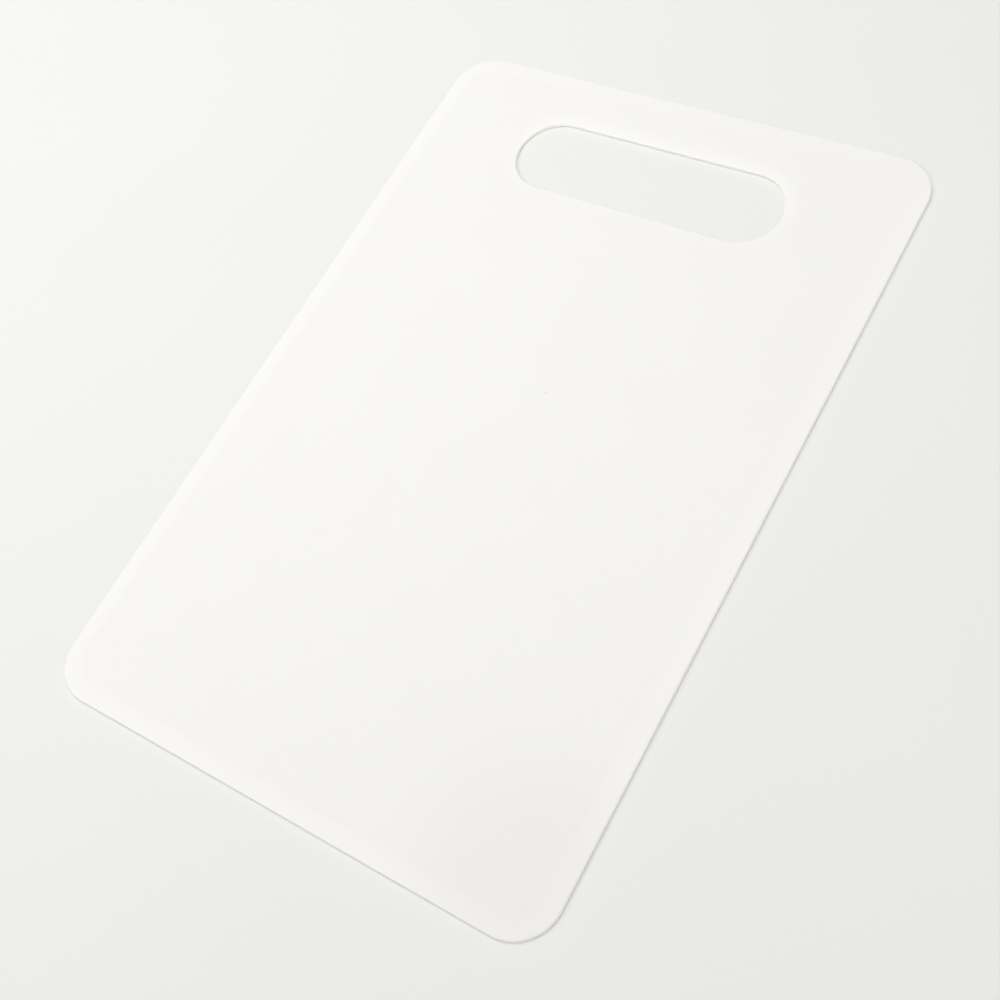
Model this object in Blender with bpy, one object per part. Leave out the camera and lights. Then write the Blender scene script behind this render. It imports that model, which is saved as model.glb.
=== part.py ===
"""White plastic cutting board: one thin moulded sheet with rounded corners and a hand slot.

Metres, +Z up. The origin is on the table, under the middle of the board.
+Y runs along the board towards the end with the hand slot, and +X across it.
"""

import math

import bmesh
import bpy

# Sheet
BOARD_WIDTH = 0.200
BOARD_LENGTH = 0.300
BOARD_THICKNESS = 0.0016
CORNER_RADIUS = 0.016

# Hand slot, its long side across the board
SLOT_LENGTH = 0.110
SLOT_WIDTH = 0.031
# Strip of sheet between the slot and the end of the board, which the fingers close round
GRIP_STRIP = 0.0225

# Edge section, the same round the sheet and round the slot.
# The top face rolls down over a wide, shallow shoulder, and a small round joins it to the wall.
# The underside is flat right out to a smaller round.
SHOULDER_RADIUS = 0.060
SHOULDER_TILT = math.radians(6.5)
EDGE_RADIUS = 0.0006
UNDERSIDE_RADIUS = 0.0003
# Share of the wall's height that the two rounds may take
EDGE_LIMIT = 0.96
# Least corner radius that is left on the flat face, inside the shoulder
INNER_CORNER_RADIUS = 0.0005

# Facets
CORNER_STEPS = 12
SLOT_END_STEPS = 22
SHOULDER_STEPS = 5
EDGE_STEPS = 4
UNDERSIDE_STEPS = 3

# Natural white polyethylene, satin
SHEET_COLOUR = (0.905, 0.900, 0.870, 1.0)
SHEET_ROUGHNESS = 0.42


def clear_scene():
    """Removes every object, so that the model starts from an empty scene."""
    for thing in list(bpy.data.objects):
        bpy.data.objects.remove(thing, do_unlink=True)


def arc(centre, radius, start, sweep, steps):
    """Points along an arc in the plane, both ends included; angles run anticlockwise."""
    points = []
    for step in range(steps + 1):
        angle = start + sweep * step / steps
        points.append((centre[0] + radius * math.cos(angle), centre[1] + radius * math.sin(angle)))
    return points


def edge_section():
    """Section of an edge as (inset from the wall, height) pairs, from the top face round to the underside."""
    upright = math.pi / 2
    wall_height = BOARD_THICKNESS - SHOULDER_RADIUS * (1 - math.cos(SHOULDER_TILT))
    rounds_height = EDGE_RADIUS * math.cos(SHOULDER_TILT) + UNDERSIDE_RADIUS
    fit = min(1.0, EDGE_LIMIT * wall_height / rounds_height)
    edge_radius = fit * EDGE_RADIUS
    underside_radius = fit * UNDERSIDE_RADIUS

    # The shoulder's centre is below the rim of the flat face, and the small round's is on the line to its end
    shoulder_centre = (0.0, BOARD_THICKNESS - SHOULDER_RADIUS)
    reach = SHOULDER_RADIUS - edge_radius
    edge_centre = (reach * math.sin(SHOULDER_TILT), shoulder_centre[1] + reach * math.cos(SHOULDER_TILT))
    wall = edge_centre[0] + edge_radius
    underside_centre = (wall - underside_radius, underside_radius)

    shoulder = arc(shoulder_centre, SHOULDER_RADIUS, upright, -SHOULDER_TILT, SHOULDER_STEPS)
    edge = arc(edge_centre, edge_radius, upright - SHOULDER_TILT, SHOULDER_TILT - upright, EDGE_STEPS)
    underside = arc(underside_centre, underside_radius, 0.0, -upright, UNDERSIDE_STEPS)
    return [(wall - out, height) for out, height in shoulder + edge[1:] + underside]


def board_outline(inset):
    """Outline of the sheet, drawn in by an inset: four quarter arcs joined by straight sides."""
    radius = max(CORNER_RADIUS - inset, INNER_CORNER_RADIUS)
    across = BOARD_WIDTH / 2 - inset - radius
    along = BOARD_LENGTH / 2 - inset - radius
    points = []
    for quarter, (side, end) in enumerate([(1, 1), (-1, 1), (-1, -1), (1, -1)]):
        start = quarter * math.pi / 2
        points += arc((side * across, end * along), radius, start, math.pi / 2, CORNER_STEPS)
    return points


def slot_outline(inset):
    """Outline of the hand slot, grown by an inset into the sheet: two half circles joined by straight sides."""
    radius = SLOT_WIDTH / 2 + inset
    across = (SLOT_LENGTH - SLOT_WIDTH) / 2
    middle = BOARD_LENGTH / 2 - GRIP_STRIP - SLOT_WIDTH / 2
    right = arc((across, middle), radius, -math.pi / 2, math.pi, SLOT_END_STEPS)
    left = arc((-across, middle), radius, math.pi / 2, math.pi, SLOT_END_STEPS)
    return right + left


def lay_loop(bm, points, height):
    """Adds a closed loop of vertices at one height, and returns them."""
    return [bm.verts.new((x, y, height)) for x, y in points]


def loop_edges(bm, loop):
    """Edges along a closed loop of vertices."""
    return [bm.edges.get((vertex, loop[index - 1])) for index, vertex in enumerate(loop)]


def skin_edge(bm, outline, section):
    """Sweeps the section round an outline, and returns the loops that bound the top face and the underside."""
    loops = [lay_loop(bm, outline(inset), height) for inset, height in section]
    for upper, lower in zip(loops, loops[1:]):
        for index in range(len(upper)):
            bm.faces.new((upper[index - 1], upper[index], lower[index], lower[index - 1]))
    return loops[0], loops[-1]


def sheet_mesh():
    """The whole sheet: both swept edges, with the two flat faces filled in between them."""
    bm = bmesh.new()
    section = edge_section()
    outer_loops = skin_edge(bm, board_outline, section)
    slot_loops = skin_edge(bm, slot_outline, section)
    for outer, slot in zip(outer_loops, slot_loops):
        rim = loop_edges(bm, outer) + loop_edges(bm, slot)
        bmesh.ops.triangle_fill(bm, edges=rim, use_beauty=True, normal=(0, 0, 1))
    bmesh.ops.recalc_face_normals(bm, faces=bm.faces)
    mesh = bpy.data.meshes.new("cutting_board")
    bm.to_mesh(mesh)
    bm.free()
    mesh.shade_smooth()
    return mesh


def sheet_material():
    """Natural white plastic with a satin surface."""
    material = bpy.data.materials.new("white_plastic")
    material.use_nodes = True
    shader = material.node_tree.nodes["Principled BSDF"]
    shader.inputs["Base Color"].default_value = SHEET_COLOUR
    shader.inputs["Roughness"].default_value = SHEET_ROUGHNESS
    shader.inputs["Metallic"].default_value = 0.0
    return material


def main():
    """Builds the board lying on the table, its underside at Z = 0."""
    clear_scene()
    board = bpy.data.objects.new("cutting_board", sheet_mesh())
    board.data.materials.append(sheet_material())
    bpy.context.scene.collection.objects.link(board)


main()
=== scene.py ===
"""White plastic cutting board with a hand slot, lying on a pale table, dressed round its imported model.

Everything is in metres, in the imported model's own frame: +Z up through the sheet, +Y along the board
towards the end with the hand slot, +X across it, and the origin on the table under the board's middle.
"""

from __future__ import annotations

import logging
import math
from dataclasses import dataclass
from enum import Enum

import bmesh
import bpy
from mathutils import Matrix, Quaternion, Vector


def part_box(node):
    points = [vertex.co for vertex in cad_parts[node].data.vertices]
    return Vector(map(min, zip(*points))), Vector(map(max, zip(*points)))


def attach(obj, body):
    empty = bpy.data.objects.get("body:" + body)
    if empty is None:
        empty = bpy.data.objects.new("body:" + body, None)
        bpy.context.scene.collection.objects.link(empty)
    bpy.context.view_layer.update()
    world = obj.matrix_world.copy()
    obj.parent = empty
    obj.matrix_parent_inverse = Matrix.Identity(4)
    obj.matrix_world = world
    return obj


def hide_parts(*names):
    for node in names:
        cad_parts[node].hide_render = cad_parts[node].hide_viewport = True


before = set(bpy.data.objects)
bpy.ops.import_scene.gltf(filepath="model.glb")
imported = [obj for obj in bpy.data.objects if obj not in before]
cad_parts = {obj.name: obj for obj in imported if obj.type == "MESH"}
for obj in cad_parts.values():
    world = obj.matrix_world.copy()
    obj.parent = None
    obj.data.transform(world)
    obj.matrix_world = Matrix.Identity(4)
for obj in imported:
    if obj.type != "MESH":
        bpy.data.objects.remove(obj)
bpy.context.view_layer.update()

BOARD_NODE = "cutting_board"
BODY = "root"

MM = 0.001
QUARTER_TURN = math.pi / 2
# The mesh keeps under this name how much painted glow each vertex has: a lighter colour on the shoulders
# and walls than the plastic has, which stands in for light on the edges
PAINTED_GLOW = "painted_glow"
# The Mix node has several sockets of each name, so those for mixing colours go by number
MIX_SHARE, MIX_FIRST, MIX_SECOND, MIX_RESULT = 0, 6, 7, 2

log = logging.getLogger("cutting_board")

Point = tuple[float, float]
Span = tuple[float, float]
Place = tuple[float, float, float]
Colour = tuple[float, float, float]
Loop = list[bmesh.types.BMVert]


class Term:
    """A number that changes over a surface, which takes part in Python sums.

    Each operator adds one Math node, so a sum reads as it is written.
    """

    def __init__(self, page: ShaderPage, socket: bpy.types.NodeSocket) -> None:
        """Keeps the node page and the output socket that gives the number."""
        self.page = page
        self.socket = socket

    def _sum(self, operation: str, first: Term | float, second: Term | float) -> Term:
        """Adds a Math node for two operands, and returns its result."""
        return self.page.term("ShaderNodeMath", {"operation": operation}, {0: first, 1: second}, "Value")

    def __add__(self, other: Term | float) -> Term:
        """Sum of two terms."""
        return self._sum("ADD", self, other)

    def __radd__(self, other: float) -> Term:
        """Sum with a plain number on the left."""
        return self._sum("ADD", other, self)

    def __sub__(self, other: Term | float) -> Term:
        """Difference of two terms."""
        return self._sum("SUBTRACT", self, other)

    def __rsub__(self, other: float) -> Term:
        """Difference from a plain number on the left."""
        return self._sum("SUBTRACT", other, self)

    def __mul__(self, other: Term | float) -> Term:
        """Product of two terms."""
        return self._sum("MULTIPLY", self, other)

    def __rmul__(self, other: float) -> Term:
        """Product with a plain number on the left."""
        return self._sum("MULTIPLY", other, self)

    def __or__(self, other: Term | float) -> Term:
        """The larger of two terms, which is 1 where either of two yes-or-no terms is."""
        return self._sum("MAXIMUM", self, other)

    def __ror__(self, other: float) -> Term:
        """The larger of a plain number and a term."""
        return self._sum("MAXIMUM", other, self)


class Ray(Enum):
    """What a ray of light or sight is doing, by the name that the Light Path node gives it."""

    CAMERA = "Is Camera Ray"
    GLOSSY = "Is Glossy Ray"
    THROUGH = "Is Transmission Ray"
    DIFFUSE = "Is Diffuse Ray"


# Rays that see the room as it is painted, in plain sight, in a reflection or through something clear
SIGHT = (Ray.CAMERA, Ray.GLOSSY, Ray.THROUGH)


class ShaderPage:
    """The nodes of one material or of the world, laid out by calls that read like a recipe."""

    def __init__(self, owner: bpy.types.Material | bpy.types.World) -> None:
        """Empties the owner's node tree and keeps it.

        Args:
            owner: the material or the world whose shader is written.
        """
        owner.use_nodes = True
        self.tree = owner.node_tree
        self.tree.nodes.clear()

    def node(self, kind: str, settings: dict[str, object] | None = None,
             values: dict[str | int, object] | None = None) -> bpy.types.Node:
        """Adds one node.

        Args:
            kind: the node's type, such as ShaderNodeTexNoise.
            settings: the node's own properties, set before its sockets.
            values: what each input socket takes, by name or number: a term, a socket or a plain value.

        Returns:
            The new node.
        """
        made = self.tree.nodes.new(kind)
        for name, value in (settings or {}).items():
            setattr(made, name, value)
        for name, value in (values or {}).items():
            self._feed(made.inputs[name], value)
        return made

    def term(self, kind: str, settings: dict[str, object], values: dict[str | int, object],
             output: str | int) -> Term:
        """Adds one node, and returns one of its outputs as a term."""
        return Term(self, self.node(kind, settings, values).outputs[output])

    def _feed(self, socket: bpy.types.NodeSocket, value: object) -> None:
        """Links or sets one input socket.

        Args:
            socket: the input socket.
            value: a term or a socket to link to it, or a plain value to set it to.
        """
        if isinstance(value, Term):
            self.tree.links.new(value.socket, socket)
        elif isinstance(value, bpy.types.NodeSocket):
            self.tree.links.new(value, socket)
        else:
            socket.default_value = value

    def noise(self, place: bpy.types.NodeSocket, size: float, detail: float = 2.0) -> Term:
        """Soft noise from 0 to 1 whose lumps are about one size across.

        Args:
            place: the coordinates that the noise is read at, in metres.
            size: width of a lump, in metres.
            detail: how many finer layers it has.

        Returns:
            The noise as a term.
        """
        values = {"Vector": place, "Scale": 1.0 / size, "Detail": detail}
        return self.term("ShaderNodeTexNoise", {"noise_dimensions": "3D"}, values, "Fac")

    def blend(self, share: Term, first: Colour | bpy.types.NodeSocket,
              second: Colour | bpy.types.NodeSocket) -> bpy.types.NodeSocket:
        """Mixes two colours.

        Args:
            share: 0 for the first colour, 1 for the second, or anything between.
            first: the first colour, or the socket that gives it.
            second: the second colour, or the socket that gives it.

        Returns:
            The socket that gives the mixed colour.
        """
        ends = [(*colour, 1.0) if isinstance(colour, tuple) else colour for colour in (first, second)]
        values = {MIX_SHARE: share, MIX_FIRST: ends[0], MIX_SECOND: ends[1]}
        return self.node("ShaderNodeMix", {"data_type": "RGBA"}, values).outputs[MIX_RESULT]

    def ramp(self, value: Term, low: float, high: float) -> Term:
        """Smooth step that rises from 0 to 1 while the value goes from low to high."""
        values = {"Value": value, "From Min": low, "From Max": high}
        return self.term("ShaderNodeMapRange", {"interpolation_type": "SMOOTHSTEP"}, values, "Result")

    def rays(self, *kinds: Ray) -> Term:
        """Tells kinds of rays apart.

        Args:
            kinds: the kinds of rays that are meant.

        Returns:
            1 for a ray of any of those kinds, and 0 for any other.
        """
        path = self.node("ShaderNodeLightPath")
        found: Term | float = 0.0
        for kind in kinds:
            found = Term(self, path.outputs[kind.value]) | found
        return found


def put_in_scene(name: str, data: bpy.types.ID) -> bpy.types.Object:
    """Puts a mesh, a lamp or a camera into the scene.

    Args:
        name: what the object is called.
        data: the mesh, the lamp or the camera.

    Returns:
        The object that shows it.
    """
    thing = bpy.data.objects.new(name, data)
    bpy.context.scene.collection.objects.link(thing)
    return thing


class Edge(Enum):
    """The two closed edges of the sheet."""

    RIM = "rim"
    SLOT = "slot"


@dataclass(frozen=True)
class SectionPoint:
    """One point of the edge section.

    The inset is measured from the wall into the sheet, the height from the underside, and the lean is
    the angle from straight up to the surface's own direction: a quarter turn is the wall, a half turn
    the underside.
    """

    inset: float
    height: float
    lean: float


@dataclass(frozen=True)
class EdgeSection:
    """How the top face rolls down to the wall, and the wall to the underside."""

    thickness: float
    shoulder_radius: float = 60.0 * MM
    shoulder_tilt: float = math.radians(6.5)
    edge_radius: float = 0.6 * MM
    underside_radius: float = 0.3 * MM
    shoulder_steps: int = 24
    edge_steps: int = 10
    underside_steps: int = 8

    def points(self) -> list[SectionPoint]:
        """Works out the section from the two faces' rims and the three rounds between them.

        Returns:
            Points from the rim of the flat top face round to the rim of the flat underside.
        """
        tilt = self.shoulder_tilt
        reach = self.shoulder_radius - self.edge_radius
        shoulder_centre = (0.0, self.thickness - self.shoulder_radius)
        edge_centre = (reach * math.sin(tilt), shoulder_centre[1] + reach * math.cos(tilt))
        wall = edge_centre[0] + self.edge_radius
        underside_centre = (wall - self.underside_radius, self.underside_radius)
        rolls = [
            (shoulder_centre, self.shoulder_radius, 0.0, tilt, self.shoulder_steps),
            (edge_centre, self.edge_radius, tilt, QUARTER_TURN, self.edge_steps),
            (underside_centre, self.underside_radius, QUARTER_TURN, math.pi, self.underside_steps),
        ]
        found: list[SectionPoint] = []
        for centre, radius, start, end, steps in rolls:
            for step in range(steps + 1):
                lean = start + (end - start) * step / steps
                out = centre[0] + radius * math.sin(lean)
                height = centre[1] + radius * math.cos(lean)
                found.append(SectionPoint(wall - out, height, lean))
        # The second round starts where the shoulder ends, so that point is there twice
        del found[self.shoulder_steps + 1]
        return found

    def width(self) -> float:
        """How far the shoulder and the round reach in from the wall."""
        return self.points()[0].inset


@dataclass(frozen=True)
class RimPoint:
    """One point of an outline, with the direction that points out of the sheet there."""

    place: Point
    outward: Point


@dataclass
class BoardSheet:
    """The moulded sheet: its outline, its hand slot and its edges, which roll down to the wall.

    Each edge has a painted glow, a lighter colour that stands in for light on the edge and fades over the
    shoulder: quickly where the fade is above 1.
    """

    width: float
    length: float
    section: EdgeSection
    corner_radius: float = 16.0 * MM
    slot_length: float = 110.0 * MM
    slot_width: float = 31.0 * MM
    grip_strip: float = 22.5 * MM
    corner_steps: int = 32
    slot_end_steps: int = 64
    rim_fade: float = 0.6
    slot_fade: float = 1.5

    @classmethod
    def from_frame(cls) -> BoardSheet:
        """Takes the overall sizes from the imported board.

        Returns:
            A sheet of those sizes.
        """
        low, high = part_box(BOARD_NODE)
        size = high - low
        return cls(width=size.x, length=size.y, section=EdgeSection(thickness=size.z))

    def outline(self, edge: Edge, inset: float) -> list[RimPoint]:
        """Points along one edge, anticlockwise.

        Args:
            edge: the board's rim or the hand slot.
            inset: how far into the sheet the points lie from the wall.

        Returns:
            The points, each with the direction out of the sheet.
        """
        if edge is Edge.SLOT:
            middle = self.length / 2 - self.grip_strip - self.slot_width / 2
            across = (self.slot_length - self.slot_width) / 2
            ends = [((across, middle), -QUARTER_TURN), ((-across, middle), QUARTER_TURN)]
            radius, sweep, steps, facing = self.slot_width / 2 + inset, math.pi, self.slot_end_steps, -1
        else:
            radius, sweep, steps, facing = self.corner_radius - inset, QUARTER_TURN, self.corner_steps, 1
            across = self.width / 2 - self.corner_radius
            along = self.length / 2 - self.corner_radius
            corners = [(across, along), (-across, along), (-across, -along), (across, -along)]
            ends = [(corner, turn * QUARTER_TURN) for turn, corner in enumerate(corners)]
        points = []
        for centre, start in ends:
            for step in range(steps + 1):
                angle = start + sweep * step / steps
                way = (math.cos(angle), math.sin(angle))
                place = (centre[0] + radius * way[0], centre[1] + radius * way[1])
                points.append(RimPoint(place, (facing * way[0], facing * way[1])))
        return points

    def painted_glow_share(self, edge: Edge, point: SectionPoint) -> float:
        """Tells how much painted glow a point has: the lighter edge colour that stands in for light on the
        edges.

        Args:
            edge: the board's rim or the hand slot.
            point: a point of the edge section.

        Returns:
            0 on both flat faces and 1 on the wall.
        """
        if point.lean > QUARTER_TURN:
            return math.sin(point.lean)
        fade = self.rim_fade if edge is Edge.RIM else self.slot_fade
        return max(0.0, 1.0 - point.inset / self.section.width()) ** fade

    def build(self) -> bpy.types.Object:
        """Models the sheet as one closed mesh with the true direction of its surface at every point.

        Returns:
            The board as an object, in place on the table.
        """
        bm = bmesh.new()
        bm.verts.layers.float.new(PAINTED_GLOW)
        normals: list[Vector] = []
        rims = [self.roll_edge(bm, edge, normals) for edge in Edge]
        for outer, slot in zip(*rims):
            border = [bm.edges.get((v, loop[i - 1])) for loop in (outer, slot) for i, v in enumerate(loop)]
            bmesh.ops.triangle_fill(bm, edges=border, use_beauty=True, normal=(0, 0, 1))
        bmesh.ops.recalc_face_normals(bm, faces=bm.faces)
        mesh = bpy.data.meshes.new("board_sheet")
        bm.to_mesh(mesh)
        bm.free()
        mesh.shade_smooth()
        mesh.normals_split_custom_set_from_vertices(normals)
        return put_in_scene("board_sheet", mesh)

    def roll_edge(self, bm: bmesh.types.BMesh, edge: Edge, normals: list[Vector]) -> tuple[Loop, Loop]:
        """Sweeps the edge section round one edge of the sheet.

        Args:
            bm: the mesh that the edge is added to.
            edge: the board's rim or the hand slot.
            normals: the direction of the surface at each vertex, which the new ones are added to.

        Returns:
            The loops of vertices that bound the flat top face and the flat underside.
        """
        painted_glow = bm.verts.layers.float[PAINTED_GLOW]
        loops = []
        for point in self.section.points():
            level = math.sin(point.lean)
            loop = []
            for spot in self.outline(edge, point.inset):
                vertex = bm.verts.new((*spot.place, point.height))
                # Painted glow: how much lighter colour this point gets, standing in for light on the edge
                vertex[painted_glow] = self.painted_glow_share(edge, point)
                way = (spot.outward[0] * level, spot.outward[1] * level, math.cos(point.lean))
                normals.append(Vector(way))
                loop.append(vertex)
            loops.append(loop)
        for upper, lower in zip(loops, loops[1:]):
            for index in range(len(upper)):
                bm.faces.new((upper[index - 1], upper[index], lower[index], lower[index - 1]))
        return loops[0], loops[-1]


@dataclass(frozen=True)
class Mark:
    """A darker place on the white plastic: a grain caught under the top face, or a patch of painted shade.

    Its strength is the share of dark colour in its core, which fades out towards its rim. The core and
    the rim are given in radii.
    """

    across: float
    along: float
    radius: float
    strength: float
    core: float = 0.3
    rim: float = 1.2


@dataclass(frozen=True)
class WhitePlastic:
    """Natural white polyethylene with a satin mould finish."""

    clear: Colour = (0.934, 0.925, 0.895)
    cloudy: Colour = (0.928, 0.919, 0.889)
    # Painted glow: the lighter colour given to the shoulders and walls, which stands in for light on the
    # edges
    edge: Colour = (0.970, 0.960, 0.930)
    # Dark colour of the caught grains, also used for the painted shade at the near right corner
    dark_speck_and_shade: Colour = (0.32, 0.30, 0.27)
    cloud_size: float = 38.0 * MM
    mottle_size: float = 2.6 * MM
    mottle_detail: float = 3.0
    mottle_share: float = 0.4
    tone_span: Span = (0.3, 0.7)
    grain_size: float = 0.24 * MM
    grain_depth: float = 0.004 * MM
    ripple_size: float = 9.0 * MM
    ripple_detail: float = 1.0
    ripple_depth: float = 0.006 * MM
    satin: float = 0.58
    satin_spread: float = 0.04
    refraction: float = 1.54
    grains: tuple[Mark, ...] = (
        Mark(10.05 * MM, 16.9 * MM, 0.62 * MM, 0.22),
        Mark(53.7 * MM, 20.9 * MM, 0.32 * MM, 0.10),
        Mark(-65.1 * MM, -77.0 * MM, 0.34 * MM, 0.08),
    )
    # Painted shade: a soft darker patch at the near right corner
    painted_shade_corner: Mark = Mark(85.0 * MM, -132.0 * MM, 42.0 * MM, 0.055)

    def dress(self, piece: bpy.types.Object) -> None:
        """Writes the material and gives it to a piece.

        Args:
            piece: the piece to dress.
        """
        material = bpy.data.materials.new("white_polyethylene")
        page = ShaderPage(material)
        place = page.node("ShaderNodeTexCoord").outputs["Object"]
        clouds = page.noise(place, self.cloud_size)
        mottle = page.noise(place, self.mottle_size, self.mottle_detail)
        tone = page.ramp(clouds * (1.0 - self.mottle_share) + mottle * self.mottle_share, *self.tone_span)
        # Painted glow on the shoulders and walls, mixed in over the plastic's own tone
        painted_glow = page.term("ShaderNodeAttribute", {"attribute_name": PAINTED_GLOW}, {}, "Fac")
        colour = page.blend(tone, self.clear, self.cloudy)
        colour = page.blend(painted_glow, colour, self.edge)
        # Real dark specks, and the painted shade at the near right corner
        colour = page.blend(self.dark_share(page, place), colour, self.dark_speck_and_shade)
        grain = page.noise(place, self.grain_size)
        ripple = page.noise(place, self.ripple_size, self.ripple_detail)
        relief = grain * self.grain_depth + ripple * self.ripple_depth
        bump = page.node("ShaderNodeBump", {}, {"Height": relief, "Distance": 1.0, "Strength": 1.0})
        values = {
            "Base Color": colour,
            "Roughness": (mottle + clouds - 1.0) * self.satin_spread + self.satin,
            "IOR": self.refraction,
            "Normal": bump.outputs["Normal"],
        }
        shader = page.node("ShaderNodeBsdfPrincipled", {}, values)
        page.node("ShaderNodeOutputMaterial", {}, {"Surface": shader.outputs["BSDF"]})
        piece.data.materials.append(material)

    def dark_share(self, page: ShaderPage, place: bpy.types.NodeSocket) -> Term:
        """Where the caught grains and the painted shade at the near right corner show, from 0 on clean
        plastic to 1.

        Args:
            page: the material's node page.
            place: the object coordinates, in metres.

        Returns:
            The share of dark colour.
        """
        # The height is left out, so that a mark goes straight through the sheet
        flat = page.node("ShaderNodeVectorMath", {"operation": "MULTIPLY"}, {0: place, 1: (1.0, 1.0, 0.0)})
        total: Term | float = 0.0
        for mark in (*self.grains, self.painted_shade_corner):
            ends = {0: flat.outputs["Vector"], 1: (mark.across, mark.along, 0.0)}
            away = page.term("ShaderNodeVectorMath", {"operation": "DISTANCE"}, ends, "Value")
            clean = page.ramp(away, mark.core * mark.radius, mark.rim * mark.radius)
            total = (1.0 - clean) * mark.strength + total
        return total


@dataclass(frozen=True)
class TableTop:
    """A wide pale table top, matt, with a hardly visible unevenness, which fades into the room far out."""

    light: Colour = (0.895, 0.894, 0.867)
    dark: Colour = (0.890, 0.889, 0.862)
    patch_size: float = 90.0 * MM
    patch_span: Span = (0.3, 0.7)
    roughness: float = 0.6
    gloss: float = 0.3
    half_width: float = 3.0
    drop: float = 0.01 * MM
    fade_start: float = 0.55
    fade_end: float = 1.0

    def build(self) -> bpy.types.Object:
        """Lays the table top just under the board.

        Returns:
            The table top as an object.
        """
        bm = bmesh.new()
        bmesh.ops.create_grid(bm, x_segments=1, y_segments=1, size=self.half_width)
        bmesh.ops.translate(bm, verts=bm.verts, vec=(0.0, 0.0, -self.drop))
        mesh = bpy.data.meshes.new("table_top")
        bm.to_mesh(mesh)
        bm.free()
        return put_in_scene("table_top", mesh)

    def dress(self, top: bpy.types.Object) -> None:
        """Writes the material and gives it to the table top.

        Args:
            top: the table top.
        """
        material = bpy.data.materials.new("pale_table")
        page = ShaderPage(material)
        place = page.node("ShaderNodeTexCoord").outputs["Object"]
        patches = page.ramp(page.noise(place, self.patch_size), *self.patch_span)
        values = {
            "Base Color": page.blend(patches, self.light, self.dark),
            "Roughness": self.roughness,
            "Specular IOR Level": self.gloss,
        }
        shader = page.node("ShaderNodeBsdfPrincipled", {}, values)
        away = page.term("ShaderNodeVectorMath", {"operation": "LENGTH"}, {0: place}, "Value")
        fade = page.ramp(away, self.fade_start, self.fade_end) * page.rays(*SIGHT)
        clear = page.node("ShaderNodeBsdfTransparent")
        layers = {0: fade, 1: shader.outputs["BSDF"], 2: clear.outputs["BSDF"]}
        mixed = page.node("ShaderNodeMixShader", {}, layers)
        page.node("ShaderNodeOutputMaterial", {}, {"Surface": mixed.outputs["Shader"]})
        top.data.materials.append(material)


@dataclass(frozen=True)
class SoftBox:
    """A square studio lamp that faces the board from a direction round it.

    Azimuth 0 is the near side and 90 the right. Angles are in degrees, and the power is in watts.
    """

    name: str
    azimuth: float
    elevation: float
    power: float
    size: float = 0.55
    distance: float = 1.1

    def hang(self) -> None:
        """Hangs the lamp in its place, turned to the board, and keeps it out of the camera's sight."""
        turn, rise = math.radians(self.azimuth), math.radians(self.elevation)
        way = Vector((math.sin(turn) * math.cos(rise), -math.cos(turn) * math.cos(rise), math.sin(rise)))
        data = bpy.data.lights.new(self.name, "AREA")
        data.size = self.size
        data.energy = self.power
        lamp = put_in_scene(self.name, data)
        lamp.location = way * self.distance
        lamp.rotation_euler = (-way).to_track_quat("-Z", "Y").to_euler()
        lamp.visible_camera = False


@dataclass(frozen=True)
class Studio:
    """The soft lamps round the table, and the pale room, which shows where the table top fades out."""

    lamps: tuple[SoftBox, ...] = (
        SoftBox("top_back", 180, 65, 0.65),
        SoftBox("top_back_left", 225, 65, 3.4),
        SoftBox("back_left", 225, 40, 0.9),
        SoftBox("left", 270, 40, 1.5),
        SoftBox("front_left", 315, 40, 2.65),
        SoftBox("right", 90, 40, 2.45),
        SoftBox("low_front", 0, 15, 2.5, size=1.25, distance=2.5),
        SoftBox("low_front_right", 45, 15, 4.8, size=1.25, distance=2.5),
        SoftBox("low_right", 90, 15, 4.2, size=1.25, distance=2.5),
    )
    room: Colour = (0.84, 0.84, 0.82)
    fill: float = 0.30

    def light(self) -> None:
        """Hangs the lamps and paints the room, which is seen as it is and gives a weak, even fill light."""
        for lamp in self.lamps:
            lamp.hang()
        world = bpy.data.worlds.new("pale_room")
        bpy.context.scene.world = world
        page = ShaderPage(world)
        strength = page.rays(*SIGHT) + page.rays(Ray.DIFFUSE) * self.fill
        shader = page.node("ShaderNodeBackground", {}, {"Color": (*self.room, 1.0), "Strength": strength})
        page.node("ShaderNodeOutputWorld", {}, {"Surface": shader.outputs["Background"]})


@dataclass(frozen=True)
class PhotoCamera:
    """The camera as the photograph has it, above the near right side and rolled to the left.

    The roll is in degrees, the lens and the sensor are in millimetres, and the shift is a share of the
    sensor's width.
    """

    place: Place = (213.35 * MM, -157.36 * MM, 390.06 * MM)
    aim: Place = (19.47 * MM, -20.98 * MM, 0.8 * MM)
    roll: float = -28.577
    lens: float = 48.62
    sensor: float = 36.0
    shift: Point = (-0.0168, -0.0079)
    nearest: float = 10.0 * MM

    def stand(self) -> None:
        """Adds the camera and makes it the scene's own."""
        data = bpy.data.cameras.new("photo_camera")
        data.lens = self.lens
        data.sensor_width = self.sensor
        data.shift_x, data.shift_y = self.shift
        data.clip_start = self.nearest
        camera = put_in_scene("photo_camera", data)
        camera.location = self.place
        level = (Vector(self.aim) - Vector(self.place)).to_track_quat("-Z", "Y")
        camera.rotation_mode = "QUATERNION"
        camera.rotation_quaternion = level @ Quaternion((0.0, 0.0, 1.0), math.radians(self.roll))
        bpy.context.scene.camera = camera


def main() -> None:
    """Builds the board, dresses it, and sets the table, the lamps and the camera."""
    logging.basicConfig(level=logging.INFO, format="%(name)s: %(message)s")
    bpy.context.scene.view_settings.view_transform = "Standard"
    PhotoCamera().stand()
    studio = Studio()
    studio.light()
    log.info("%d lamps", len(studio.lamps))
    table = TableTop()
    top = table.build()
    table.dress(top)
    log.info("%s: the floor under the board", top.name)
    sheet = BoardSheet.from_frame()
    piece = sheet.build()
    WhitePlastic().dress(piece)
    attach(piece, BODY)
    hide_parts(BOARD_NODE)
    log.info("%s: %d faces", piece.name, len(piece.data.polygons))


if __name__ == "__main__":
    main()
